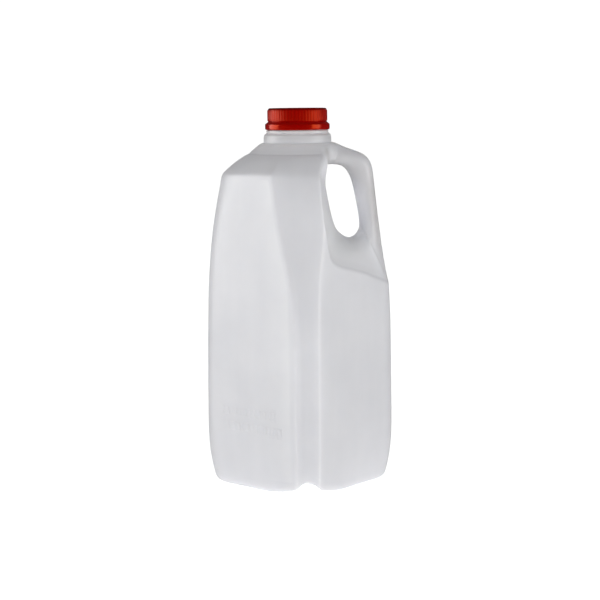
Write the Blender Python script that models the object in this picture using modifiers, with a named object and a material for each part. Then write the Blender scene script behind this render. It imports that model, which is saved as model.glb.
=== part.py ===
"""Half-gallon milk bottle of natural HDPE with a red tear-band screw cap.

The bottle stands on the origin with +Z up. The handle is at +X and the mould's parting plane is y = 0,
so the blow-moulded body is one half shell, mirrored. Sizes are in millimetres, and MM turns them into metres.
"""

import math

import bmesh
import bpy
import numpy as np
from mathutils import Vector

MM = 0.001
MERGE = 1e-6

# Section of the body: a square standing on its corner, so its faces look left-front and right-front.
# Each table gives (height, size). A reach is measured from the axis to the square's sharp or rounded corner.
FACE_REACH = ((0, 73.9), (60, 73.6), (130, 72.8), (161, 71.0), (194, 68.5), (212, 67.3))
CORNER_REACH = ((0, 63.8), (60, 63.4), (120, 62.6), (156, 60.3), (173, 58.5), (190, 55.7), (206, 52.6),
                (212, 51.9))

# The front corner is cut by a panel that narrows downwards into a groove. Each table gives (height, x).
PANEL_LEFT = ((0, -7.2), (60, -8.0), (130, -8.3), (161, -13.6), (177, -16.6), (194, -18.6), (212, -20.8))
PANEL_RIGHT = ((0, 7.8), (60, 8.1), (130, 8.2), (154, 9.8), (168, 12.0), (182, 12.8), (194, 11.6),
               (212, 11.3))
GROOVE_DEPTH = ((0, 2.6), (120, 2.5), (150, 1.2), (180, 0.0), (212, 0.0))
RIDGE_ROUND = 3.2  # how far the rounding of a ridge runs along each side of it
PANEL_TIP = 182  # where the panel's right edge leaves the right face for the edge of the handle's pocket
SHOULDER_HEIGHT = 212

# Foot and base.
FOOT_RADIUS = 3.0
FOOT_TAPER = 5.4
FOOT_TAPER_HEIGHT = 27.0
FOOT_TAPER_POWER = 1.3
RIDGE_FOOT_SHARE = 0.35  # of the foot's inset that is left at the front, and how far to the side that reaches
RIDGE_FOOT_WIDTH = 40.0
PUSH_UP = 2.5
BASE_ROWS = ((0, PUSH_UP, 0), (0.3, PUSH_UP, 0), (0.6, 0.8 * PUSH_UP, 0.2), (0.7, 0, 0.65), (0.77, 0, 0.85),
             (0.84, 0, 1))  # share of the outline, height, share of the notch's lift
NOTCH_LIFT = 10.8  # the groove runs on under the base
NOTCH_HALF_WIDTH = 16.5
NOTCH_FADE_HEIGHT = 26.0

# The shoulder's edge is level, and drops a little at the left corner. The roof runs up from it, flattens out
# before a small round ledge, and ends under the neck.
SHOULDER_EDGE = 211.8
SHOULDER_DROP = 1.0
SHOULDER_ROUND = 3.4
ROOF_BULGE = 1.3
LEDGE_RADIUS = 32.6
LEDGE_HEIGHT = 223.9
LEDGE_STEP = 1.0
LEDGE_FLAT = 3.0
COLLAR_SLOPE = 0.7
COLLAR_OUTER = (24.6, 231.4)
COLLAR_INNER = (20.0, 231.5)  # hidden in the neck
COLLAR_TWIST = math.radians(20)  # how far the roof's right edge swings towards the handle at the neck

# Finger hole in the plane y = 0: a slanted oval with a square corner at the neck.
HOLE_CENTRE = (30.1, 189.6)
HOLE_HALF = (9.4, 26.4)
HOLE_SLANT = -0.195
HOLE_CORNER_POWER = 10.0
HOLE_TOP_POWER = 4.2
HOLE_BOTTOM_POWER = 2.5
HOLE_SQUASH = 0.6  # spreads the pocket's columns evenly round the oval

# Outer line of the handle in the plane y = 0, as (x, height) from the collar to the pocket's right tip.
HANDLE_LINE = (COLLAR_OUTER, (29.0, 229.0), (36.6, 226.1), (44.4, 223.8), (49.2, 220.4), (50.9, 215.8),
               (51.4, 211.0), (53.6, 190.1), (56.2, 169.3), (59.4, 148.5), (62.2, 135.4))
HANDLE_HALF_WIDTH = 11.0
TOP_ROOT_HALF_WIDTH = 20.0  # where the handle grows out of the roof's edge, and where it leaves the collar
CROWN_HALF_WIDTH = 17.0
CROWN_END = 50.0  # x at which it has narrowed to the grip
CROWN_REACH = 7.0  # how far the first columns of the handle lean along it
CROWN_STEPS = 3
LOW_ROOT_HALF_WIDTH = 15.5  # where the handle runs out into the pocket's floor
LOW_ROOT_STEPS = 7
HANDLE_STEPS = 14
# Crease of the handle's pocket on the right face: (x, height) of each column from the panel's tip, down and
# round to where the corner's rounding starts, and then only the heights across the rounding.
POCKET_CREASE = ((12.8, 182.0), (15.2, 165.0), (17.0, 152.6), (34.0, 148.4))
POCKET_CREASE_ENDS = (140.0, 137.2, 135.7, 135.4)
CREASE_BEND = 2.0  # how late the face's columns swing towards the crease
POCKET_RINGS = (0, 0.16, 0.38, 0.62, 0.84, 1)
POCKET_LEAN = 0.45  # how far the pocket's floor leans in where it leaves the crease
POCKET_RISE = 13.0
POCKET_CORNER_OUT = 18.0  # how it leaves outwards at the corner, to run into the handle's root
FLOOR_FULLNESS = 0.55  # share of its width over which the pocket's floor stays level at the hole
WALL_FULLNESS = 0.4
ROOT_LEAVING = (11.0, 1.0, -6.0)  # how the handle's root leaves the roof's edge
COLLAR_REACH = 9.0

# Columns and rows of the half shell's cage.
CORNER_STEPS = 3
FACE_STEPS = 3
NECK_STEPS = 3
WALL_HEIGHTS = (9, 18, 32, 55, 80, 128, 142, 155, 168, PANEL_TIP, 194, 203)
EVEN_HEIGHT = 80  # rows of the right face are level up to here, and bend towards the crease above
SHELL_LEVELS = 1

# Neck and cap, turned: radii and heights.
TURN_STEPS = 64
CAP_TOP = 254.2
CAP_BOTTOM = 239.8
CAP_PLATE = 1.5
CAP_GAP = 0.3
CAP_EDGE = 0.9
CAP_RADIUS = 19.7
RIB_RADIUS = 20.25
RIB_DEPTH = 0.4
RIB_COUNT = 60
RIB_BOTTOM = 245.4
RIB_TOP = 253.1
BAND_TOP = 243.6
BAND_RADIUS = 21.8
BORE_RADIUS = 18.2
BAND_BORE_RADIUS = 20.1
BAND_BORE_TOP = 244.6
NECK_TOP = CAP_TOP - CAP_PLATE - CAP_GAP
NECK_RADIUS = BORE_RADIUS - 0.4
BEAD_RADIUS = BAND_BORE_RADIUS - 0.6

HDPE = ((0.80, 0.81, 0.83, 1), 0.42)
CAP_RED = ((0.55, 0.01, 0.004, 1), 0.28)


def smooth(at, table):
    """Value at a place in a table of (place, value), on a smooth curve through its points."""
    places = np.array([row[0] for row in table], float)
    values = np.array([row[1] for row in table], float)
    at = min(max(at, places[0]), places[-1])
    slopes = np.gradient(values, places)
    i = min(int(np.searchsorted(places, at, side="right")) - 1, len(places) - 2)
    gap = places[i + 1] - places[i]
    t = (at - places[i]) / gap
    start = (1 + 2 * t) * (1 - t) ** 2 * values[i] + t * (1 - t) ** 2 * gap * slopes[i]
    end = t * t * (3 - 2 * t) * values[i + 1] + t * t * (t - 1) * gap * slopes[i + 1]
    return float(start + end)


def along(points, share):
    """Point at a share of the length of a smooth path through points."""
    points = np.array(points, float)
    steps = np.linalg.norm(np.diff(points, axis=0), axis=1)
    lengths = np.concatenate([[0], np.cumsum(steps)])
    return [smooth(share * lengths[-1], list(zip(lengths, column))) for column in points.T]


def between(start, end, steps):
    """Points from just after the start to the end, evenly spaced."""
    start, end = np.array(start, float), np.array(end, float)
    return [tuple(start + (end - start) * k / steps) for k in range(1, steps + 1)]


def corner_arc(height):
    """Radius of the left and right corners, and how far from the axis their centres lie."""
    reach = smooth(height, CORNER_REACH)
    radius = (smooth(height, FACE_REACH) - reach) / (math.sqrt(2) - 1)
    return radius, reach - radius


def panel_edges(height):
    """Left and right edges of the front panel, as (x, y)."""
    reach = smooth(height, FACE_REACH)
    left, right = smooth(height, PANEL_LEFT), smooth(height, PANEL_RIGHT)
    left_y, right_y = -reach - left, right - reach
    if height > PANEL_TIP:
        right_y += (left_y - right_y) * (height - PANEL_TIP) / (SHOULDER_HEIGHT - PANEL_TIP)
    return np.array((left, left_y)), np.array((right, right_y))


def left_section(height):
    """Section from the left corner over the left face and the panel to the panel's right edge."""
    radius, centre = corner_arc(height)
    turns = [math.pi / 4 * k / CORNER_STEPS for k in range(CORNER_STEPS + 1)]
    points = [(-centre - radius * math.cos(a), -radius * math.sin(a)) for a in turns]
    left, right = panel_edges(height)
    ridge = left + np.array((-RIDGE_ROUND, RIDGE_ROUND)) / math.sqrt(2)
    points += between(points[-1], ridge, FACE_STEPS)
    side = RIDGE_ROUND / (right[0] - left[0])
    for share, sunk in ((0, 0), (side, 0.8), (0.5, 1), (1 - side, 0.8), (1, 0)):
        x, y = left + (right - left) * share
        points.append((x, y + sunk * smooth(height, GROOVE_DEPTH)))
    return points


def right_section(height):
    """Section from the panel's right edge over the right face to the right corner."""
    radius, centre = corner_arc(height)
    turns = [math.pi / 4 * (1 - k / CORNER_STEPS) for k in range(CORNER_STEPS + 1)]
    corner = [(centre + radius * math.cos(a), -radius * math.sin(a)) for a in turns]
    edge = panel_edges(height)[1]
    ridge = edge + np.array((RIDGE_ROUND, RIDGE_ROUND)) / math.sqrt(2)
    return [tuple(edge), tuple(ridge)] + between(ridge, corner[0], FACE_STEPS) + corner[1:]


def moved_in(x, y, inset):
    share = 1 - inset / math.hypot(x, y)
    return x * share, y * share


def notched(x, y, height, share=1):
    """The point, lifted where the groove runs on under the base."""
    if abs(x) < NOTCH_HALF_WIDTH and height < NOTCH_FADE_HEIGHT:
        across = (1 + math.cos(math.pi * x / NOTCH_HALF_WIDTH)) / 2
        height += NOTCH_LIFT * across * share * (1 - height / NOTCH_FADE_HEIGHT) ** 1.5
    return x, y, height


def wall_point(x, y, height, inset=0):
    """A point of the wall, with the foot's draught and the notch."""
    taper = FOOT_TAPER * max(1 - height / FOOT_TAPER_HEIGHT, 0) ** FOOT_TAPER_POWER
    share = RIDGE_FOOT_SHARE + (1 - RIDGE_FOOT_SHARE) * min(abs(x) / RIDGE_FOOT_WIDTH, 1)
    return notched(*moved_in(x, y, (inset + taper) * share), height)


def base_rows(section):
    """Rows from the centre of the base to the top of the foot's rounding."""
    rows = []
    for share, height, lift in BASE_ROWS:
        rows.append([notched(x * share, y * share, height, lift) for x, y in section])
    for turn in (math.pi / 2, math.pi / 4, 0):
        inset, height = FOOT_RADIUS * (1 - math.cos(turn)), FOOT_RADIUS * (1 - math.sin(turn))
        rows.append([wall_point(x, y, height, inset) for x, y in section])
    return rows


def shoulder_edge(x, y):
    """Height of the shoulder's edge over a point of the wall."""
    return SHOULDER_EDGE - SHOULDER_DROP * max(math.cos(2 * math.atan2(y, x)), 0)


def roof_column(x, y, swing):
    """Points of one column from the shoulder's edge to the collar's edge."""
    reach, turn, edge = math.hypot(x, y), math.atan2(y, x), shoulder_edge(x, y)
    slope = (LEDGE_HEIGHT - edge) / (reach - LEDGE_RADIUS)
    places = (
        (reach - 0.35, edge - 0.2, 0),
        (reach - SHOULDER_ROUND, edge + slope * SHOULDER_ROUND + ROOF_BULGE / 3, 0.1),
        ((reach + LEDGE_RADIUS) / 2, (edge + LEDGE_HEIGHT) / 2 + ROOF_BULGE, 0.35),
        (LEDGE_RADIUS + LEDGE_FLAT, LEDGE_HEIGHT - 0.5 * slope * LEDGE_FLAT, 0.55),
        (LEDGE_RADIUS + 0.4, LEDGE_HEIGHT, 0.6),
        (LEDGE_RADIUS - 0.4, LEDGE_HEIGHT + LEDGE_STEP, 0.65),
        (*COLLAR_OUTER, 1),
    )
    return [
        (radius * math.cos(turn + swing * past), radius * math.sin(turn + swing * past), height)
        for radius, height, past in places
    ]


def left_rows():
    """Rows of the left face and the panel, from the centre of the base to the collar's edge."""
    rows = base_rows(left_section(0))
    rows += [[wall_point(x, y, height) for x, y in left_section(height)] for height in WALL_HEIGHTS]
    top = left_section(SHOULDER_HEIGHT)
    heights = [shoulder_edge(x, y) - SHOULDER_ROUND for x, y in top]
    rows.append([(*left_section(height)[k], height) for k, height in enumerate(heights)])
    columns = [roof_column(x, y, COLLAR_TWIST * (k / (len(top) - 1)) ** 3) for k, (x, y) in enumerate(top)]
    return rows + [list(row) for row in zip(*columns)]


def right_rows():
    """Rows of the right face, from the centre of the base to the pocket's crease."""
    rows = base_rows(right_section(0))
    tops = [top for _, top in POCKET_CREASE] + list(POCKET_CREASE_ENDS)
    swings = [x - right_section(top)[k][0] for k, (x, top) in enumerate(POCKET_CREASE)]
    swings += [0] * len(POCKET_CREASE_ENDS)
    for height in WALL_HEIGHTS[: WALL_HEIGHTS.index(PANEL_TIP) + 1]:
        past = max(height - EVEN_HEIGHT, 0) / (PANEL_TIP - EVEN_HEIGHT)
        row = []
        for k, (top, swing) in enumerate(zip(tops, swings)):
            own = min(height, EVEN_HEIGHT) + past * (top - EVEN_HEIGHT)
            x, y = right_section(own)[k]
            along_face = swing * past**CREASE_BEND
            row.append(wall_point(x + along_face, y + along_face, own))
        rows.append(row)
    return rows


def rim_point(turn):
    """Point of the finger hole's rim in one direction from its centre."""
    c, s = math.cos(turn), math.sin(turn)
    power = HOLE_BOTTOM_POWER
    if s > 0:
        power = HOLE_TOP_POWER if c > 0 else HOLE_CORNER_POWER
    across, up = abs(c) / HOLE_HALF[0], abs(s) / (HOLE_SQUASH * HOLE_HALF[1])
    reach = (across**power + up**power) ** (-1 / power)
    x, z = reach * c, reach * s / HOLE_SQUASH
    return np.array((HOLE_CENTRE[0] + x + HOLE_SLANT * z, 0, HOLE_CENTRE[1] + z))


def pocket_column(outer, leaving=(0, 0, 0), towards=0, fullness=WALL_FULLNESS, half_width=HANDLE_HALF_WIDTH):
    """Points of one column from the finger hole's rim to a point of the pocket's border."""
    turn = math.atan2(HOLE_SQUASH * (outer[2] - HOLE_CENTRE[1]), outer[0] - HOLE_CENTRE[0])
    rim = rim_point(turn)
    outer = np.array(outer)
    level = max(fullness * np.linalg.norm(outer - rim), 4 / 3 * half_width)
    first = rim + np.array((0, -level, 0))
    second = outer + leaving + towards * (rim - outer) / 3
    weights = [((1 - t) ** 3, 3 * t * (1 - t) ** 2, 3 * t * t * (1 - t), t**3) for t in POCKET_RINGS]
    return [tuple(a * rim + b * first + c * second + d * outer) for a, b, c, d in weights]


def roof_edge_column(point):
    """Column that starts on the panel's right edge, or above it on the roof, at the handle's root."""
    span = COLLAR_OUTER[1] - SHOULDER_HEIGHT
    up = min(max((point[2] - SHOULDER_HEIGHT) / span, 0), 1)
    straight = np.array(pocket_column(point, towards=1))
    root = np.array(pocket_column(point, ROOT_LEAVING, half_width=TOP_ROOT_HALF_WIDTH))
    return [tuple(place) for place in (1 - up) * straight + up * root]


def handle_half_width(x, step):
    """Half width of the handle, wider at its two roots."""
    top = min(max((CROWN_END - x) / (CROWN_END - COLLAR_OUTER[0]), 0), 1) ** 1.5
    low = max(1 - (HANDLE_STEPS - step) / LOW_ROOT_STEPS, 0) ** 1.5
    wider = top * (CROWN_HALF_WIDTH - HANDLE_HALF_WIDTH) + low * (LOW_ROOT_HALF_WIDTH - HANDLE_HALF_WIDTH)
    return HANDLE_HALF_WIDTH + wider, low


def leaving_crease(x, y, height, near_corner):
    """Direction in which the pocket's floor leaves its crease: up the face, leaning in."""
    radius, centre = corner_arc(height)
    inward = np.array((-1, 1)) / math.sqrt(2)
    if x > centre + radius / math.sqrt(2):
        inward = np.array((centre - x, -y)) / radius
    up_the_face = POCKET_RISE * np.array((*POCKET_LEAN * inward, 1))
    return (1 - near_corner) * up_the_face + near_corner * np.array((0, -POCKET_CORNER_OUT, 0))


def collar_arc(left, radius, height):
    """Points of the collar from the last column of the left rows round to the handle's outer line."""
    start = math.atan2(left[-1][-1][1], left[-1][-1][0])
    turns = [start * (1 - k / NECK_STEPS) for k in range(1, NECK_STEPS + 1)]
    return [(radius * math.cos(turn), radius * math.sin(turn), height) for turn in turns]


def pocket_rows(left, right):
    """Rows from the finger hole's rim to the pocket's border: crease, panel's edge, neck and handle."""
    columns = []
    for k, point in enumerate(reversed(right[-1])):
        near_corner = max(1 - k / 3, 0)
        leaving = leaving_crease(*point, near_corner)
        half_width = near_corner * LOW_ROOT_HALF_WIDTH
        columns.append(pocket_column(point, leaving, near_corner, FLOOR_FULLNESS, half_width))
    above_tip = len(right)
    columns += [roof_edge_column(row[-1]) for row in left[above_tip:]]
    for k, (x, y, height) in enumerate(collar_arc(left, *COLLAR_OUTER)[:-1], 1):
        out = np.array((x, y, -COLLAR_SLOPE * COLLAR_OUTER[0])) / COLLAR_OUTER[0]
        half_width = TOP_ROOT_HALF_WIDTH + (CROWN_HALF_WIDTH - TOP_ROOT_HALF_WIDTH) * k / NECK_STEPS
        columns.append(pocket_column((x, y, height), COLLAR_REACH * out, half_width=half_width))
    for k in range(HANDLE_STEPS):
        x, height = along(HANDLE_LINE, k / HANDLE_STEPS)
        half_width, low = handle_half_width(x, k)
        crown = max(1 - k / CROWN_STEPS, 0)
        lean = CROWN_REACH * crown
        leaving = (lean, -4 / 3 * half_width * (1 - crown / 2), -COLLAR_SLOPE / 2 * lean)
        fullness = WALL_FULLNESS + low * (FLOOR_FULLNESS - WALL_FULLNESS)
        columns.append(pocket_column((x, 0, height), leaving, low, fullness, half_width))
    columns.append(columns[0])
    return [list(row) for row in zip(*columns)]


def add_patch(bm, rows):
    """A grid whose points are moved to rows of places."""
    across, up = len(rows[0]) - 1, len(rows) - 1
    for vert in bmesh.ops.create_grid(bm, x_segments=across, y_segments=up, size=0.5)["verts"]:
        column = round((vert.co.x + 0.5) * across)
        row = round((vert.co.y + 0.5) * up)
        vert.co = Vector(rows[row][column]) * MM


def add_object(name, mesh, collection, finish=None):
    made = bpy.data.objects.new(name, mesh)
    collection.objects.link(made)
    if finish:
        material = bpy.data.materials.new(name)
        material.use_nodes = True
        shader = material.node_tree.nodes["Principled BSDF"]
        shader.inputs["Base Color"].default_value, shader.inputs["Roughness"].default_value = finish
        made.data.materials.append(material)
    return made


def add_turned(name, profile, collection, finish=None):
    """A solid turned about the Z axis from (radius, height) points that run down its outer side."""
    mesh = bpy.data.meshes.new(name)
    mesh.from_pydata([(radius * MM, 0, height * MM) for radius, height in profile], [], [])
    mesh.edges.add(len(profile) - 1)
    for k, edge in enumerate(mesh.edges):
        edge.vertices = (k, k + 1)
    made = add_object(name, mesh, collection, finish)
    screw = made.modifiers.new("turn", "SCREW")
    screw.steps = screw.render_steps = TURN_STEPS
    screw.use_merge_vertices = True
    screw.merge_threshold = MERGE
    screw.use_smooth_shade = True
    return made


def combine(made, other, operation):
    """Join another solid to this one, or cut it out, and keep the other as a guide."""
    step = made.modifiers.new(other.name, "BOOLEAN")
    step.operation = operation
    step.object = other
    other.hide_render = True
    other.display_type = "WIRE"


def make_shell(collection):
    """The blow-moulded body with its handle, closed under the neck."""
    left, right = left_rows(), right_rows()
    arc = left[-1] + collar_arc(left, *COLLAR_OUTER)
    inner = [(x * COLLAR_INNER[0] / COLLAR_OUTER[0], y * COLLAR_INNER[0] / COLLAR_OUTER[0], COLLAR_INNER[1])
             for x, y, _ in arc]
    bm = bmesh.new()
    add_patch(bm, left)
    add_patch(bm, right)
    add_patch(bm, pocket_rows(left, right))
    add_patch(bm, [arc, inner, [(0, 0, COLLAR_INNER[1])] * len(arc)])
    bmesh.ops.remove_doubles(bm, verts=bm.verts, dist=MERGE)
    bmesh.ops.recalc_face_normals(bm, faces=bm.faces)
    mesh = bpy.data.meshes.new("bottle")
    bm.to_mesh(mesh)
    bm.free()
    made = add_object("bottle", mesh, collection, HDPE)
    mirror = made.modifiers.new("other half", "MIRROR")
    mirror.use_axis = (False, True, False)
    mirror.merge_threshold = MERGE * 10
    soft = made.modifiers.new("round", "SUBSURF")
    soft.levels = soft.render_levels = SHELL_LEVELS
    return made


def neck_profile():
    """The finish under the cap as a plain barrel, the bead behind the tear band, and the neck's rings."""
    return (
        (0, NECK_TOP),
        (NECK_RADIUS - CAP_EDGE, NECK_TOP),
        (NECK_RADIUS, NECK_TOP - CAP_EDGE),
        (NECK_RADIUS, BAND_BORE_TOP - 1.2),
        (BEAD_RADIUS, BAND_BORE_TOP - 2),
        (BEAD_RADIUS, CAP_BOTTOM - 0.1),
        (20.5, CAP_BOTTOM - 0.3),
        (20.8, CAP_BOTTOM - 0.6),
        (20.8, 237.7),
        (22.0, 236.7),
        (22.5, 236.0),
        (22.8, 234.2),
        (22.8, COLLAR_OUTER[1] - 4),
        (0, COLLAR_OUTER[1] - 4),
    )


def cap_profile():
    """Outside of the screw cap and its flared tear band."""
    return (
        (0, CAP_TOP),
        (CAP_RADIUS - CAP_EDGE, CAP_TOP),
        (CAP_RADIUS - 0.3 * CAP_EDGE, CAP_TOP - 0.3 * CAP_EDGE),
        (CAP_RADIUS, CAP_TOP - CAP_EDGE),
        (CAP_RADIUS, RIB_BOTTOM),
        (CAP_RADIUS + 0.4, RIB_BOTTOM - 0.6),
        (BAND_RADIUS - 0.3, BAND_TOP + 0.2),
        (BAND_RADIUS, BAND_TOP - 0.3),
        (BAND_RADIUS + 0.05, CAP_BOTTOM + 0.6),
        (BAND_RADIUS - 0.35, CAP_BOTTOM),
        (0, CAP_BOTTOM),
    )


def bore_profile():
    """The cap's inside, wider behind the tear band."""
    return (
        (0, CAP_TOP - CAP_PLATE),
        (BORE_RADIUS, CAP_TOP - CAP_PLATE),
        (BORE_RADIUS, BAND_BORE_TOP),
        (BAND_BORE_RADIUS, BAND_BORE_TOP),
        (BAND_BORE_RADIUS, CAP_BOTTOM - 2),
        (0, CAP_BOTTOM - 2),
    )


def make_ribs(collection):
    """The cap's grip: a ring of fine upright ribs, as a flat outline with thickness."""
    outline = bpy.data.curves.new("ribs", "CURVE")
    outline.dimensions = "2D"
    outline.fill_mode = "BOTH"
    outline.extrude = (RIB_TOP - RIB_BOTTOM) / 2 * MM
    spline = outline.splines.new("POLY")
    spline.points.add(4 * RIB_COUNT - 1)
    for k, point in enumerate(spline.points):
        radius = (RIB_RADIUS if k % 4 in (1, 2) else RIB_RADIUS - RIB_DEPTH) * MM
        turn = 2 * math.pi * k / len(spline.points)
        point.co = (radius * math.cos(turn), radius * math.sin(turn), 0, 1)
    spline.use_cyclic_u = True
    drawn = add_object("rib outline", outline, collection)
    drawn.location.z = (RIB_TOP + RIB_BOTTOM) / 2 * MM
    bpy.context.view_layer.update()
    mesh = bpy.data.meshes.new_from_object(drawn.evaluated_get(bpy.context.evaluated_depsgraph_get()))
    made = add_object("ribs", mesh, collection)
    made.matrix_world = drawn.matrix_world
    bpy.data.objects.remove(drawn)
    bm = bmesh.new()
    bm.from_mesh(mesh)
    bmesh.ops.remove_doubles(bm, verts=bm.verts, dist=MERGE)
    bmesh.ops.recalc_face_normals(bm, faces=bm.faces)
    bm.to_mesh(mesh)
    bm.free()
    return made


for leftover in list(bpy.data.objects):
    bpy.data.objects.remove(leftover)

parts = bpy.data.collections.new("milk bottle")
guides = bpy.data.collections.new("guides")
for group in (parts, guides):
    bpy.context.scene.collection.children.link(group)

shell = make_shell(parts)
combine(shell, add_turned("neck", neck_profile(), guides), "UNION")

cap = add_turned("cap", cap_profile(), parts, CAP_RED)
combine(cap, make_ribs(guides), "UNION")
combine(cap, add_turned("bore", bore_profile(), guides), "DIFFERENCE")
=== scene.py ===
"""Looks of a half-gallon milk bottle of natural HDPE with a red tear-band cap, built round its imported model.

Sizes are in millimetres, and MM turns them into metres. The handle is at +X, and the mould's parting plane is
y = 0.
"""

import math

import bmesh
import bpy
import numpy as np
from mathutils import Matrix, Vector


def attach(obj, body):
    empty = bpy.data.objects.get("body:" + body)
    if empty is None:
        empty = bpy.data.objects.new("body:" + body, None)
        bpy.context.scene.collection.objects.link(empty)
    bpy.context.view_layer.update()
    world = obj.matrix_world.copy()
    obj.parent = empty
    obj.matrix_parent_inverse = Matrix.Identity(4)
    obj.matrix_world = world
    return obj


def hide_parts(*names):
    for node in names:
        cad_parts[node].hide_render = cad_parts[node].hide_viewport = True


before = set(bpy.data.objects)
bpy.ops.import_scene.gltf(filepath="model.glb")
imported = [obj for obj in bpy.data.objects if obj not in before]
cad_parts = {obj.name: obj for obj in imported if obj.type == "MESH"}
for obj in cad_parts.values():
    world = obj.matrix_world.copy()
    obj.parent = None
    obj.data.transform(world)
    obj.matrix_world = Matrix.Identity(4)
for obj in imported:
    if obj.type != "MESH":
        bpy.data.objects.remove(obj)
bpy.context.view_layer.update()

# ---------------------------------------------------------------------------------------------------------------
# Bottle. One piece of natural high-density polyethylene, blow-moulded in two halves that meet at y = 0, with its
# handle and finger hole moulded in. The half skin is a cage whose rows follow the body's sections, mirrored and
# smoothed. A turned neck and two rows of low bars are united with it, and the parting line is raised all round.
# ---------------------------------------------------------------------------------------------------------------
MM = 0.001
MERGE = 1e-6

# Section of the body: a square standing on its corner, so its faces look left-front and right-front.
# Each table gives (height, size). A reach is measured from the axis to the square's sharp or rounded corner.
FACE_REACH = ((0, 73.9), (60, 73.6), (130, 72.8), (161, 71.0), (194, 68.5), (212, 67.3))
CORNER_REACH = ((0, 63.8), (60, 63.4), (120, 62.6), (156, 60.3), (173, 58.5), (190, 55.7), (206, 52.6),
                (212, 51.9))

# The front corner is cut by a panel that narrows downwards into a groove. Each table gives (height, x).
PANEL_LEFT = ((0, -7.2), (60, -8.0), (130, -8.3), (161, -13.6), (177, -16.6), (194, -18.6), (212, -20.8))
PANEL_RIGHT = ((0, 7.8), (60, 8.1), (130, 8.2), (154, 9.8), (168, 12.0), (182, 12.8), (194, 11.6),
               (212, 11.3))
GROOVE_DEPTH = ((0, 2.6), (120, 2.5), (150, 1.2), (180, 0.0), (212, 0.0))
GROOVE_SIDE = 0.8  # share of the depth beside the ridges
RIDGE_ROUND = 3.2  # how far the rounding of a ridge runs along each side of it
PANEL_TIP = 182  # where the panel's right edge leaves the right face for the edge of the handle's pocket
SHOULDER_HEIGHT = 212

# Foot and base.
FOOT_RADIUS = 3.0
FOOT_TAPER = 5.4
FOOT_TAPER_HEIGHT = 27.0
FOOT_TAPER_POWER = 1.3
RIDGE_FOOT_SHARE = 0.35  # of the foot's inset that is left at the front, and how far to the side that reaches
RIDGE_FOOT_WIDTH = 40.0
PUSH_UP = 2.5
BASE_ROWS = ((0, PUSH_UP, 0), (0.3, PUSH_UP, 0), (0.6, 0.8 * PUSH_UP, 0.2), (0.7, 0, 0.65), (0.77, 0, 0.85),
             (0.84, 0, 1))  # share of the outline, height, share of the notch's lift
NOTCH_LIFT = 10.8  # the groove runs on under the base
NOTCH_HALF_WIDTH = 16.5
NOTCH_FADE_HEIGHT = 26.0
NOTCH_FADE_POWER = 1.5

# The shoulder's edge is level, and drops a little at the left corner. The roof runs up from it, flattens out
# before a small round ledge, and ends under the neck.
SHOULDER_EDGE = 211.8
SHOULDER_DROP = 1.0
SHOULDER_ROUND = 3.4
SHOULDER_LIP = (0.35, 0.2)  # how far in and down from the edge the roof starts
ROOF_BULGE = 1.3
LEDGE_RADIUS = 32.6
LEDGE_HEIGHT = 223.9
LEDGE_STEP = 1.0
LEDGE_ROUND = 0.4
LEDGE_FLAT = 3.0
COLLAR_SLOPE = 0.7
COLLAR_OUTER = (24.6, 231.4)
COLLAR_INNER = (20.0, 231.5)  # hidden in the neck
COLLAR_TWIST = math.radians(20)  # how far the roof's right edge swings towards the handle at the neck
TWIST_POWER = 3  # how late the columns towards that edge join in
ROOF_TWISTS = (0, 0.1, 0.35, 0.55, 0.6, 0.65, 1)  # share of a column's swing at each of its points

# Finger hole in the plane y = 0: a slanted oval with a square corner at the neck.
HOLE_CENTRE = (30.1, 189.6)
HOLE_HALF = (9.4, 26.4)
HOLE_SLANT = -0.195
HOLE_CORNER_POWER = 10.0
HOLE_TOP_POWER = 4.2
HOLE_BOTTOM_POWER = 2.5
HOLE_SQUASH = 0.6  # spreads the pocket's columns evenly round the oval

# Outer line of the handle in the plane y = 0, as (x, height) from the collar to the pocket's right tip.
HANDLE_LINE = (COLLAR_OUTER, (29.0, 229.0), (36.6, 226.1), (44.4, 223.8), (49.2, 220.4), (50.9, 215.8),
               (51.4, 211.0), (53.6, 190.1), (56.2, 169.3), (59.4, 148.5), (62.2, 135.4))
HANDLE_HALF_WIDTH = 11.0
TOP_ROOT_HALF_WIDTH = 20.0  # where the handle grows out of the roof's edge, and where it leaves the collar
CROWN_HALF_WIDTH = 17.0
CROWN_END = 50.0  # x at which it has narrowed to the grip
CROWN_REACH = 7.0  # how far the first columns of the handle lean along it
CROWN_STEPS = 3
LOW_ROOT_HALF_WIDTH = 15.5  # where the handle runs out into the pocket's floor
LOW_ROOT_STEPS = 7
ROOT_POWER = 1.5  # how fast the handle narrows from its roots
HANDLE_STEPS = 14

# Crease of the handle's pocket on the right face: (x, height) of each column from the panel's tip, down and
# round to where the corner's rounding starts, and then only the heights across the rounding.
POCKET_CREASE = ((12.8, 182.0), (15.2, 165.0), (17.0, 152.6), (34.0, 148.4))
POCKET_CREASE_ENDS = (140.0, 137.2, 135.7, 135.4)
CREASE_BEND = 2.0  # how late the face's columns swing towards the crease
POCKET_RINGS = (0, 0.16, 0.38, 0.62, 0.84, 1)
POCKET_LEAN = 0.45  # how far the pocket's floor leans in where it leaves the crease
POCKET_RISE = 13.0
POCKET_CORNER_OUT = 18.0  # how it leaves outwards at the corner, to run into the handle's root
FLOOR_FULLNESS = 0.55  # share of its width over which the pocket's floor stays level at the hole
WALL_FULLNESS = 0.4
ROOT_LEAVING = (11.0, 1.0, -6.0)  # how the handle's root leaves the roof's edge
COLLAR_REACH = 9.0

# Columns and rows of the half shell's cage.
CORNER_STEPS = 3
FACE_STEPS = 3
NECK_STEPS = 3
WALL_HEIGHTS = (9, 18, 32, 55, 80, 128, 142, 155, 168, PANEL_TIP, 194, 203)
EVEN_HEIGHT = 80  # rows of the right face are level up to here, and bend towards the crease above

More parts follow.
